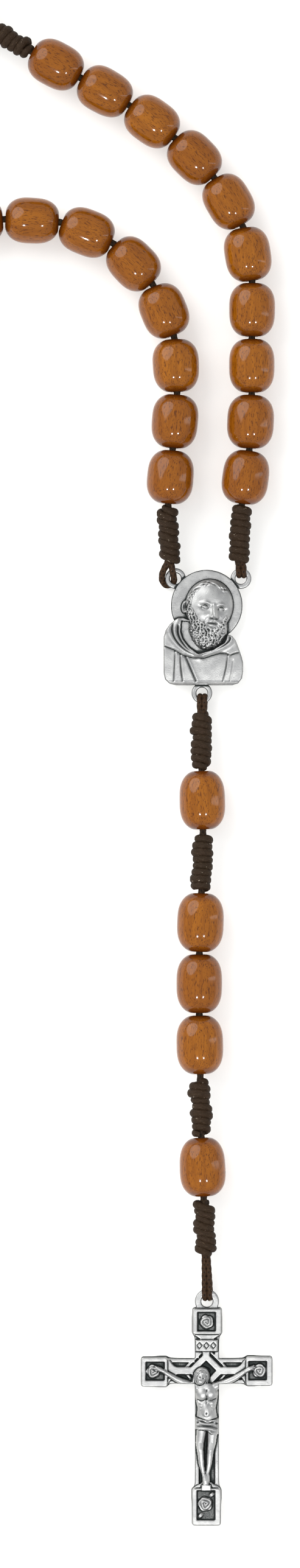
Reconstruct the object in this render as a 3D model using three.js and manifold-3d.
// A five-decade rosary of wooden barrel beads on one knotted cord, with a centre medal and a crucifix.
// It lies flat, face up: +Z is up from the table, +Y runs from the crucifix to the medal, and the origin is
// the middle of the medal's back. Millimetres throughout.
import * as THREE from "three";
import { mergeVertices } from "three/addons/utils/BufferGeometryUtils.js";
import Module from "manifold-3d";

const wasm = await Module();
wasm.setup();

// ---- Driving dimensions ----
// Beads: turned barrels with a straight bore and a small flat lip round each mouth of it.
const BEAD_DIAMETER = 8;
const DECADE_BEAD_LENGTH = 9.2;
const PENDANT_BEAD_LENGTH = 10.1;
const BORE_DIAMETER = 2.2;
const BEAD_LIP_DIAMETER = 2.8;
const BEAD_SIDES = 8;

// Cord, and the wrapped barrel knots tied in it.
const CORD_DIAMETER = 1.2;
const CORD_SIDES = 8;
const KNOT_DIAMETER = 3.3;
const KNOT_END_DIAMETER = 2;
const KNOT_LENGTH = 10.1;
const STRAND_GAP = 0.45; // free cord between one piece and the next on a straight stretch
const BEND_CLEARANCE = 0.12; // what is left between two lips on the inside of a bend
const CORD_PARTING = 0.4; // between the ends of two cord stretches, at the point where the strand bends
const LOOP_CORD_DIAMETER = 1; // the cord pulled tight where it passes through a ring
const RING_CLEARANCE = 0.33; // between that cord and the ring it passes round
const RING_KNOT_RISE = 1.1; // from the middle of a ring up to the end of the knot beside it

// Medal: a halo disc behind a bust on a flat-bottomed plaque, with three rings.
const HALO_RADIUS = 6.18;
const HALO_CENTRE = [0.5, 4.81];
const HALO_THICKNESS = 2;
const PLAQUE_THICKNESS = 2.6;
const RELIEF_HEIGHT = 4.2; // top of the bust above the table
const MEDAL_RING_RADIUS = 1.78;
const MEDAL_HOLE_RADIUS = 0.95;
const RING_THICKNESS = 1;
const RING_HEIGHT = 1.9; // middle of every ring above the table, so that the cord passes under it
const RIGHT_RING_TURN = 38.4; // degrees round the halo from +X
const LEFT_RING_TURN = 139;
const RIGHT_RING_STAND = 1.37; // from the halo's edge out to the middle of the ring
const LEFT_RING_STAND = 0.97;
const BOTTOM_RING = [-0.33, -10.3];

// Crucifix: its own frame has the middle of the bail's hole at (0, 0) and the foot towards -Y.
const BAIL_RADIUS = 2.07;
const BAIL_HOLE_RADIUS = 0.97;
const SHAFT_WIDTH = 4.1;
const ARM_WIDTH = 4.4;
const CROSS_THICKNESS = 1.4; // plain back layer
const STRAP_THICKNESS = 2; // strap-work and frames on its front
const BLOCK_THICKNESS = 2.4;
const PANEL_DEPTH = 0.9; // how far the rose panels are sunk into their frames
const STRAP_WIDTH = 1.3;
const ARM_DROP = 12.15; // from the bail's hole down to the middle of the arms
const TOP_BLOCK = { x: 0.04, y: -3.3, width: 5.05, height: 4.4, panel: [3.15, 3.2] };
const LEFT_BLOCK = { x: -9.1, y: -12.2, width: 4.6, height: 5.2, panel: [3.2, 3.3] };
const RIGHT_BLOCK = { x: 8.95, y: -12.05, width: 4.6, height: 5.1, panel: [3.2, 3.2] };
const FOOT_BLOCK = { x: -0.1, y: -35.55, width: 5, height: 6.5, panel: [3.15, 5.2] };
const BLOCK_CHAMFER = 0.4;

// How far the knots beside the rings stand from them, measured from the ring's middle.
const LOOP_LINK = 2.3;
const PENDANT_LINK = 2.9;
const CRUCIFIX_LINK = 7.7;
const RIGHT_KNOT_ASIDE = -0.47; // from the middle of the ring across to the end of its knot
const LEFT_KNOT_ASIDE = -1;

// ---- The cord's route, chosen by hand, seen from above ----
// The loop, from the right-hand knot above the medal round to the left-hand one.
const LOOP_ROUTE = [
  [5.95, 11.8], [5.8, 17], [6.5, 21.9], [7.25, 26.7], [8.2, 36.2], [8.2, 45.9], [8.3, 55.3], [8, 65.3],
  [4.9, 74.5], [-1.1, 81.6], [-8.2, 88.1], [-16.8, 93.3], [-25.5, 98.1], [-34.3, 102.8], [-51, 113],
  [-68, 126.5], [-86, 141], [-106, 153.5], [-129, 160.5], [-154.5, 161], [-180.5, 154], [-201, 140.5],
  [-214, 121], [-216.5, 99], [-208, 79], [-191, 65.5], [-168, 59], [-142, 57.5], [-116, 58.5],
  [-92, 62], [-70, 66.5], [-52, 69.5], [-40.4, 71], [-30, 71.4], [-19.5, 69.6], [-11.6, 63.7],
  [-6.1, 55.3], [-4.65, 46.1], [-4.9, 36.4], [-6, 26.5], [-6.2, 21.9], [-6.1, 17], [-5.9, 11.8],
];
// The pendant, from the medal's bottom ring down to the last knot.
const PENDANT_ROUTE = [
  [-0.4, -13.2], [-0.4, -24], [-0.3, -29.2], [-0.1, -39.5], [-0.75, -49.7], [-0.75, -60.3],
  [-0.8, -70.7], [-0.45, -81], [-0.4, -91.8], [0.3, -102.3], [0.3, -107.8],
];

// ---- Finishes ----
const honeyWood = { color: 0xa5672f, roughness: 0.28, metalness: 0 };
const waxedCord = { color: 0x46362a, roughness: 0.75, metalness: 0 };
const oldSilver = { color: 0xc4c4c2, roughness: 0.38, metalness: 1 };

const rosary = new THREE.Group();

function addPiece(name, geometry, finish) {
  const mesh = new THREE.Mesh(geometry, new THREE.MeshStandardMaterial(finish));
  mesh.name = name;
  rosary.add(mesh);
  return mesh;
}

// ---- Solids ----

// A closed geometry as a solid whose faces point outwards.
function solidOf(geometry) {
  const bare = geometry.index ? geometry.toNonIndexed() : geometry.clone();
  bare.deleteAttribute("normal");
  bare.deleteAttribute("uv");
  const merged = mergeVertices(bare, 1e-4);
  const corners = merged.index.array;
  const faces = [];
  for (let i = 0; i < corners.length; i += 3) {
    const [a, b, c] = corners.slice(i, i + 3);
    if (a !== b && b !== c && c !== a) faces.push([a, b, c]);
  }
  const vertProperties = new Float32Array(merged.attributes.position.array);
  const build = (order) =>
    new wasm.Manifold(new wasm.Mesh({ numProp: 3, vertProperties, triVerts: new Uint32Array(order.flat()) }));
  const made = build(faces);
  return made.volume() > 0 ? made : build(faces.map(([a, b, c]) => [a, c, b]));
}

function geometryOf(solid) {
  const mesh = solid.getMesh();
  const geometry = new THREE.BufferGeometry();
  geometry.setAttribute("position", new THREE.BufferAttribute(new Float32Array(mesh.vertProperties), 3));
  geometry.setIndex(new THREE.BufferAttribute(new Uint32Array(mesh.triVerts), 1));
  return geometry;
}

const union = (solids) => solids.reduce((whole, next) => whole.add(next));

// A flat plate with the given outline, from one height to another.
function plate(outline, bottom, top, hole = null) {
  const shape = new THREE.Shape(outline.map(([x, y]) => new THREE.Vector2(x, y)));
  if (hole) shape.holes.push(new THREE.Path(hole.map(([x, y]) => new THREE.Vector2(x, y))));
  const geometry = new THREE.ExtrudeGeometry(shape, { depth: top - bottom, bevelEnabled: false });
  return solidOf(geometry.translate(0, 0, bottom));
}

function circle(x, y, radius, sides = 24) {
  return Array.from({ length: sides }, (_, i) => {
    const turn = (2 * Math.PI * i) / sides;
    return [x + radius * Math.cos(turn), y + radius * Math.sin(turn)];
  });
}

function rectangle(x, y, width, height, chamfer = 0) {
  const [w, h, c] = [width / 2, height / 2, chamfer];
  const corners = c
    ? [[-w + c, -h], [w - c, -h], [w, -h + c], [w, h - c], [w - c, h], [-w + c, h], [-w, h - c], [-w, -h + c]]
    : [[-w, -h], [w, -h], [w, h], [-w, h]];
  return corners.map(([cx, cy]) => [x + cx, y + cy]);
}

// An egg or dome: a sphere stretched to three half-axes.
function ellipsoid(x, y, z, halfX, halfY, halfZ, turn = 0) {
  const ball = new THREE.SphereGeometry(1, 10, 6).scale(halfX, halfY, halfZ);
  return solidOf(ball.rotateZ(turn).translate(x, y, z));
}

const UP_Y = new THREE.Vector3(0, 1, 0);

// A limb: a tapered round bar between two points, with a ball at each end.
function limb(from, to, startRadius, endRadius) {
  const [a, b] = [new THREE.Vector3(...from), new THREE.Vector3(...to)];
  const along = b.clone().sub(a);
  const bar = new THREE.CylinderGeometry(endRadius, startRadius, along.length(), 6);
  bar.applyQuaternion(new THREE.Quaternion().setFromUnitVectors(UP_Y, along.clone().normalize()));
  const middle = a.clone().add(b).multiplyScalar(0.5);
  bar.translate(middle.x, middle.y, middle.z);
  const ball = (centre, radius) =>
    solidOf(new THREE.SphereGeometry(radius, 6, 4).translate(centre.x, centre.y, centre.z));
  return union([solidOf(bar), ball(a, startRadius), ball(b, endRadius)]);
}

// Turns something made along Y so that it lies along a direction, and moves its middle to a point.
function layAlong(item, middle, direction) {
  item.quaternion.setFromUnitVectors(UP_Y, direction);
  item.position.copy(middle);
}

// ---- The strand: rigid pieces threaded one after another ----

// A smooth route through hand-chosen points, as one curve in the plane.
function routeCurve(points) {
  const curve = new THREE.CatmullRomCurve3(points.map(([x, y]) => new THREE.Vector3(x, y, 0)));
  curve.arcLengthDivisions = 2000;
  return curve;
}

// Threads pieces of the given lengths along a route, which is stretched away from an anchor until the whole
// strand fits it. A gap opens where the strand bends, as far as the two lips need. Each pass lays the pieces
// out as straight runs between bend points, and then gives more of the route to a run that came out short.
// Returns each piece's middle, direction and length, and the bend points at its two ends.
const THREADING_PASSES = 5;
function thread(points, lengths, anchor) {
  const curve = routeCurve(points);
  const gaps = [0, ...Array(lengths.length - 1).fill(STRAND_GAP), 0];
  const room = (i) => lengths[i] + (gaps[i] + gaps[i + 1]) / 2;
  const shares = lengths.map((_, i) => room(i));
  let joints = [];
  let directions = [];
  for (let pass = 0; pass < THREADING_PASSES; pass++) {
    const total = shares.reduce((sum, share) => sum + share);
    const stretch = total / curve.getLength();
    let reached = 0;
    joints = [0, ...shares].map((share) => {
      reached += share;
      const point = curve.getPointAt(Math.min(reached / total, 1));
      return point.sub(anchor).multiplyScalar(stretch).add(anchor);
    });
    directions = lengths.map((_, i) => joints[i + 1].clone().sub(joints[i]).normalize());
    for (let i = 1; i < lengths.length; i++) {
      const bend = directions[i - 1].angleTo(directions[i]);
      gaps[i] = Math.max(STRAND_GAP, BEAD_LIP_DIAMETER * Math.tan(bend / 2) + BEND_CLEARANCE);
    }
    shares.forEach((share, i) => {
      shares[i] = share + room(i) - joints[i].distanceTo(joints[i + 1]);
    });
  }
  return directions.map((direction, i) => {
    const middle = joints[i].clone().addScaledVector(direction, gaps[i] / 2 + lengths[i] / 2);
    return { middle, direction, start: joints[i].clone(), end: joints[i + 1].clone(), length: lengths[i] };
  });
}

// Beads lie with their sides on the table, so their bores are half a bead above it.
const STRAND_HEIGHT = BEAD_DIAMETER / 2;

// ---- Beads ----

// One bead's outer profile as [radius, place along the bore], between the two lips.
function barrelProfile(length, offset) {
  const lip = BEAD_LIP_DIAMETER / 2;
  const swell = BEAD_DIAMETER / 2 - lip;
  return [-1, -0.84, -0.4, 0.4, 0.84, 1].map((t) => {
    const fullness = Math.pow(Math.max(0, 1 - Math.pow(Math.abs(t), 3)), 0.62);
    const radius = Math.abs(t) === 0.4 ? BEAD_DIAMETER / 2 : lip + swell * fullness;
    return [radius, offset + (t * length) / 2];
  });
}

// A bead, or several on one straight axis that turn together, as one turned solid with an open bore.
function beadGeometry(length, count) {
  const pitch = length + STRAND_GAP;
  const half = (count * length + (count - 1) * STRAND_GAP) / 2;
  const bore = BORE_DIAMETER / 2;
  const outside = Array.from({ length: count }, (_, i) =>
    barrelProfile(length, (i - (count - 1) / 2) * pitch),
  ).flat();
  const profile = [[bore, -half], ...outside, [bore, half], [bore, -half]];
  return new THREE.LatheGeometry(profile.map(([r, y]) => new THREE.Vector2(r, y)), BEAD_SIDES);
}

function addBead(name, piece, length, count = 1) {
  const bead = addPiece(name, beadGeometry(length, count), honeyWood);
  layAlong(bead, piece.middle.clone().setZ(STRAND_HEIGHT), piece.direction);
}

// ---- Cord ----

// Straight runs from corner to corner, sampled only at its corners.
class Corners extends THREE.Curve {
  constructor(points) {
    super();
    this.points = points;
  }
  getPoint(t) {
    const place = t * (this.points.length - 1);
    const i = Math.min(Math.floor(place), this.points.length - 2);
    return this.points[i].clone().lerp(this.points[i + 1], place - i);
  }
  getUtoTmapping(u) {
    return u;
  }
}

function tube(points, diameter) {
  const section = new THREE.Shape(
    circle(0, 0, diameter / 2, CORD_SIDES).map(([x, y]) => new THREE.Vector2(x, y)),
  );
  const path = new Corners(points);
  return solidOf(new THREE.ExtrudeGeometry(section, { steps: points.length - 1, extrudePath: path }));
}

// A wrapped knot: a barrel with rounded ends, round the cord.
function knotSolid(start, end, length) {
  const [full, small] = [KNOT_DIAMETER / 2, KNOT_END_DIAMETER / 2];
  const [half, round] = [length / 2, full - small];
  const profile = [
    [0, -half], [small, -half], [full - round * 0.2, -half + round * 0.8], [full, -half + round * 2],
    [full, half - round * 2], [full - round * 0.2, half - round * 0.8], [small, half], [0, half],
  ];
  const barrel = new THREE.LatheGeometry(profile.map(([r, y]) => new THREE.Vector2(r, y)), CORD_SIDES);
  const holder = new THREE.Object3D();
  layAlong(holder, start.clone().add(end).multiplyScalar(0.5), end.clone().sub(start).normalize());
  holder.updateMatrix();
  return solidOf(barrel.applyMatrix4(holder.matrix));
}

// The eye of cord that passes through a ring: out from the knot, round the ring's rim and back. It keeps an
// even distance from the rim's section, in an arc round each of its four corners.
function eyeSolid(ring, outer, hole, knotEnd) {
  const outward = new THREE.Vector3(0, Math.sign(knotEnd.y - ring.y), 0);
  const spare = RING_CLEARANCE + LOOP_CORD_DIAMETER / 2;
  const rim = new THREE.Vector3(ring.x, ring.y, 0).addScaledVector(outward, (outer + hole) / 2);
  const [halfWidth, halfHeight] = [(outer - hole) / 2, RING_THICKNESS / 2];
  const arc = (along, up, turns) => turns.map((degrees) => {
    const turn = THREE.MathUtils.degToRad(degrees);
    const reach = halfWidth * along + spare * Math.cos(turn);
    const rise = halfHeight * up + spare * Math.sin(turn);
    return rim.clone().addScaledVector(outward, reach).setZ(RING_HEIGHT + rise);
  });
  const round = [
    ...arc(1, 1, [60, 90]), ...arc(-1, 1, [90, 135, 180]),
    ...arc(-1, -1, [180, 225, 270]), ...arc(1, -1, [270, 300]),
  ];
  const inKnot = (up) => knotEnd.clone().addScaledVector(outward, 1.5).setZ(knotEnd.z + up);
  return tube([inKnot(0.4), ...round, inKnot(-0.4)], LOOP_CORD_DIAMETER);
}

// A stretch of cord between two bend points, through the pieces of a strand from first to last.
function cordCore(pieces, openStart, openEnd) {
  const corners = [pieces[0].start, ...pieces.map((piece) => piece.end)].map((point) => point.clone());
  const last = corners.length - 1;
  if (openStart) corners[0].addScaledVector(pieces[0].direction, CORD_PARTING / 2);
  else corners[0].copy(pieces[0].middle);
  if (openEnd) corners[last].addScaledVector(pieces[pieces.length - 1].direction, -CORD_PARTING / 2);
  else corners[last].copy(pieces[pieces.length - 1].middle);
  return tube(corners, CORD_DIAMETER);
}

// A ring's middle, on a ray from the middle of the halo.
function haloRing(degrees, stand) {
  const turn = THREE.MathUtils.degToRad(degrees);
  const reach = HALO_RADIUS + stand;
  const [x, y] = HALO_CENTRE;
  return new THREE.Vector3(x + reach * Math.cos(turn), y + reach * Math.sin(turn), RING_HEIGHT);
}
const rightRing = haloRing(RIGHT_RING_TURN, RIGHT_RING_STAND);
const leftRing = haloRing(LEFT_RING_TURN, LEFT_RING_STAND);

// ---- Pendant strand ----
const bottomRing = new THREE.Vector3(...BOTTOM_RING, RING_HEIGHT);
const pendantKinds = ["knot", "bead", "knot", "bead", "bead", "bead", "knot", "bead", "knot"];
const pendantLengths = pendantKinds.map((kind) => (kind === "knot" ? KNOT_LENGTH : PENDANT_BEAD_LENGTH));
const pendantAnchor = new THREE.Vector3(...PENDANT_ROUTE[0], 0);
const pendant = thread(PENDANT_ROUTE, pendantLengths, pendantAnchor);
const pendantShift = new THREE.Vector3(0, BOTTOM_RING[1] - PENDANT_LINK, 0).sub(pendantAnchor).setX(0);
for (const piece of pendant) {
  for (const point of [piece.middle, piece.start, piece.end]) point.add(pendantShift).setZ(STRAND_HEIGHT);
}
const lastKnot = pendant[pendant.length - 1];
const crucifixPlace = lastKnot.end.clone().addScaledVector(lastKnot.direction, CRUCIFIX_LINK).setZ(0);

// The end knots come down from bead height towards their rings.
const RING_KNOT_HEIGHT = RING_HEIGHT + RING_KNOT_RISE;
pendant[0].start.z = RING_KNOT_HEIGHT;
lastKnot.end.z = RING_KNOT_HEIGHT;

const knotOf = (piece) => knotSolid(
  piece.start.clone().lerp(piece.end, 0.5 - piece.length / 2 / piece.start.distanceTo(piece.end)),
  piece.start.clone().lerp(piece.end, 0.5 + piece.length / 2 / piece.start.distanceTo(piece.end)),
  piece.length,
);

let beadNumber = 0;
pendant.forEach((piece, i) => {
  if (pendantKinds[i] === "bead") addBead(`pendant_bead_${++beadNumber}`, piece, PENDANT_BEAD_LENGTH);
});
const medalRing = [MEDAL_RING_RADIUS, MEDAL_HOLE_RADIUS];
addPiece("pendant_cord_1", geometryOf(union([
  cordCore(pendant.slice(0, 2), false, true),
  knotOf(pendant[0]),
  eyeSolid(bottomRing, ...medalRing, pendant[0].start),
])), waxedCord);
addPiece("pendant_cord_2", geometryOf(union([
  cordCore(pendant.slice(2, 6), true, true),
  knotOf(pendant[2]),
])), waxedCord);
addPiece("pendant_cord_3", geometryOf(union([
  cordCore(pendant.slice(6, 8), true, true),
  knotOf(pendant[6]),
])), waxedCord);
addPiece("pendant_cord_4", geometryOf(union([
  cordCore(pendant.slice(8), true, false),
  knotOf(lastKnot),
  eyeSolid(crucifixPlace, BAIL_RADIUS, BAIL_HOLE_RADIUS, lastKnot.end),
])), waxedCord);

// ---- Loop strand ----
// Five decades of ten beads with a single bead between decades, each single bead between two knots. In the
// three far decades every two beads share one straight stretch of cord and turn as one piece.
const DECADE = 10;
const decadeOf = (number, group) => Array.from({ length: DECADE / group }, (_, i) => {
  const first = String(i * group + 1).padStart(2, "0");
  const last = String((i + 1) * group).padStart(2, "0");
  const name = group === 1 ? `decade_${number}_bead_${first}` : `decade_${number}_beads_${first}_${last}`;
  return { name, count: group };
});
const divider = (number) => [{ name: null }, { name: `divider_bead_${number}`, count: 1 }, { name: null }];
const loopPieces = [
  { name: null },
  ...decadeOf(1, 1), ...divider(1),
  ...decadeOf(2, 2), ...divider(2),
  ...decadeOf(3, 2), ...divider(3),
  ...decadeOf(4, 2), ...divider(4),
  ...decadeOf(5, 1),
  { name: null },
];
const loopLengths = loopPieces.map(({ name, count }) =>
  name ? count * DECADE_BEAD_LENGTH + (count - 1) * STRAND_GAP : KNOT_LENGTH,
);
const loopAnchor = new THREE.Vector3(0, LOOP_ROUTE[0][1], 0);
const loop = thread(LOOP_ROUTE, loopLengths, loopAnchor);
const loopStart = Math.max(rightRing.y, leftRing.y) + LOOP_LINK;
const loopShift = new THREE.Vector3(0, loopStart - loopAnchor.y, 0);
for (const piece of loop) {
  for (const point of [piece.middle, piece.start, piece.end]) point.add(loopShift).setZ(STRAND_HEIGHT);
}
const endKnot = loop.length - 1;
loop[0].start.set(rightRing.x + RIGHT_KNOT_ASIDE, rightRing.y + LOOP_LINK, RING_KNOT_HEIGHT);
loop[endKnot].end.set(leftRing.x + LEFT_KNOT_ASIDE, leftRing.y + LOOP_LINK, RING_KNOT_HEIGHT);

loopPieces.forEach(({ name, count }, i) => {
  if (name) addBead(name, loop[i], DECADE_BEAD_LENGTH, count);
});

// The loop's cord is parted where both sides of the loop fold: after the first, second and third beads.
addPiece("loop_cord_right_1", geometryOf(union([
  cordCore(loop.slice(0, 2), false, true),
  knotOf(loop[0]),
  eyeSolid(rightRing, ...medalRing, loop[0].start),
])), waxedCord);
addPiece("loop_cord_left_1", geometryOf(union([
  cordCore(loop.slice(endKnot - 1), true, false),
  knotOf(loop[endKnot]),
  eyeSolid(leftRing, ...medalRing, loop[endKnot].end),
])), waxedCord);
for (const bead of [2, 3]) {
  const right = loop.slice(bead, bead + 1);
  const left = loop.slice(endKnot - bead, endKnot - bead + 1);
  addPiece(`loop_cord_right_${bead}`, geometryOf(cordCore(right, true, true)), waxedCord);
  addPiece(`loop_cord_left_${bead}`, geometryOf(cordCore(left, true, true)), waxedCord);
}
const farStretch = loop.slice(4, endKnot - 3);
const farKnots = farStretch.filter((_, i) => !loopPieces[i + 4].name);
addPiece("loop_cord_far", geometryOf(union([
  cordCore(farStretch, true, true),
  ...farKnots.map(knotOf),
])), waxedCord);

// ---- Medal ----

// A flat ring at ring height, on a short neck that reaches towards the casting it belongs to.
function ringSolid({ x, y }, outer, hole, towards) {
  const [bottom, top] = [RING_HEIGHT - RING_THICKNESS / 2, RING_HEIGHT + RING_THICKNESS / 2];
  const away = new THREE.Vector2(towards[0] - x, towards[1] - y).normalize();
  const neckMiddle = [x + away.x * outer, y + away.y * outer];
  const neckTurn = Math.atan2(away.y, away.x);
  const neck = new THREE.BoxGeometry(outer, outer * 1.3, RING_THICKNESS);
  neck.rotateZ(neckTurn).translate(neckMiddle[0], neckMiddle[1], RING_HEIGHT);
  return plate(circle(x, y, outer), bottom, top)
    .add(solidOf(neck))
    .subtract(plate(circle(x, y, hole, 16), bottom - 1, top + 1));
}

const plaqueOutline = [
  [-5.3, 2.3], [-6.2, 1.2], [-6.8, 0.2], [-6.96, -0.7], [-6.96, -6.9], [-6.6, -7.95], [-5.9, -8.65],
  [-4.8, -8.95], [4.9, -8.95], [5.95, -8.6], [6.6, -7.8], [6.8, -6.9], [6.75, -4.8], [6.2, -3.4],
  [5.5, -1.2], [4.9, -0.4],
  [4.2, 0], [2, 1.5], [-2, 2.5],
];
addPiece("medal", geometryOf(union([
  plate(circle(...HALO_CENTRE, HALO_RADIUS, 32), 0, HALO_THICKNESS),
  plate(plaqueOutline, 0, PLAQUE_THICKNESS),
  ringSolid(rightRing, ...medalRing, HALO_CENTRE),
  ringSolid(leftRing, ...medalRing, HALO_CENTRE),
  ringSolid(bottomRing, ...medalRing, [BOTTOM_RING[0], 0]),
  ellipsoid(0.6, 5, RELIEF_HEIGHT / 2, 3.7, 4.5, RELIEF_HEIGHT / 2, -0.15),
  ellipsoid(0.8, -0.4, RELIEF_HEIGHT / 2, 3.2, 3, RELIEF_HEIGHT / 2 - 0.1),
])), oldSilver);

// ---- Crucifix ----

// An end block: a chamfered plate with a sunk panel, and a boss in the panel for its rose.
function endBlock({ x, y, width, height, panel }) {
  const floor = BLOCK_THICKNESS - PANEL_DEPTH;
  return plate(rectangle(x, y, width, height, BLOCK_CHAMFER), 0, BLOCK_THICKNESS)
    .subtract(plate(rectangle(x, y, ...panel), floor, BLOCK_THICKNESS + 1))
    .add(ellipsoid(x, y, floor, 1, 1, PANEL_DEPTH * 0.8));
}

// A figure in half relief: head, chest, waist, cloth and limbs, simple and smooth.
const FIGURE_HEIGHT = 2.5;
function figureSolid() {
  const z = FIGURE_HEIGHT;
  const armY = -ARM_DROP;
  return union([
    ellipsoid(-1.05, armY - 0.75, z + 0.6, 1.15, 1.4, 1.1),
    ellipsoid(-0.1, armY - 4, z, 2, 2.6, 1.2),
    ellipsoid(0, armY - 7, z, 1.7, 2.3, 1.1),
    ellipsoid(0.05, armY - 9, z, 2.1, 1.8, 1.3),
    limb([-1.9, armY - 2.6, z], [-5.5, armY - 1.3, z], 0.75, 0.55),
    limb([-5.5, armY - 1.3, z], [-8.3, armY + 0.4, z], 0.55, 0.45),
    limb([1.7, armY - 2.5, z], [4.75, armY - 1.3, z], 0.75, 0.55),
    limb([4.75, armY - 1.3, z], [7.85, armY + 0.7, z], 0.55, 0.45),
    limb([-0.85, armY - 10, z], [-1.15, armY - 13.3, z + 0.2], 0.95, 0.65),
    limb([1.05, armY - 10, z], [0.85, armY - 13.3, z + 0.2], 0.95, 0.65),
    limb([-1.15, armY - 13.3, z + 0.2], [-0.3, armY - 18.2, z], 0.65, 0.45),
    limb([0.85, armY - 13.3, z + 0.2], [0, armY - 18.2, z], 0.65, 0.45),
    limb([-0.15, armY - 18.2, z], [-0.15, armY - 19.4, z - 0.3], 0.6, 0.5),
  ]);
}

function crucifixSolid() {
  const footY = FOOT_BLOCK.y + FOOT_BLOCK.height / 2;
  const topY = TOP_BLOCK.y - TOP_BLOCK.height / 2;
  const shaftMiddle = (TOP_BLOCK.y + FOOT_BLOCK.y) / 2;
  const armMiddle = (LEFT_BLOCK.x + RIGHT_BLOCK.x) / 2;
  const strapInner = LEFT_BLOCK.x + LEFT_BLOCK.width / 2;
  const diamond = (reach) => [[0, reach], [-reach, 0], [0, -reach], [reach, 0]]
    .map(([x, y]) => [x, y - ARM_DROP]);
  const lugBottom = TOP_BLOCK.y + TOP_BLOCK.height / 2 - 0.5;
  const hang = ringSolid({ x: 0, y: 0 }, BAIL_RADIUS, BAIL_HOLE_RADIUS, [0, lugBottom]);
  return union([
    plate(rectangle(0, shaftMiddle, SHAFT_WIDTH, TOP_BLOCK.y - FOOT_BLOCK.y), 0, CROSS_THICKNESS),
    plate(rectangle(armMiddle, -ARM_DROP, RIGHT_BLOCK.x - LEFT_BLOCK.x, ARM_WIDTH), 0, CROSS_THICKNESS),
    plate(rectangle(armMiddle, -ARM_DROP + 0.2, RIGHT_BLOCK.x - strapInner, STRAP_WIDTH), 0, STRAP_THICKNESS),
    plate(diamond(3.2), 0, STRAP_THICKNESS, diamond(1.35)),
    plate(rectangle(0, topY - 1.9, 3.7, 1.8), 0, BLOCK_THICKNESS),
    plate(rectangle(-0.15, footY + 0.5, 1.5, 1.1), 0, BLOCK_THICKNESS),
    ...[TOP_BLOCK, LEFT_BLOCK, RIGHT_BLOCK, FOOT_BLOCK].map(endBlock),
    hang,
    figureSolid(),
  ]);
}
const crucifix = addPiece("crucifix", geometryOf(crucifixSolid()), oldSilver);
crucifix.position.copy(crucifixPlace);

export default rosary;
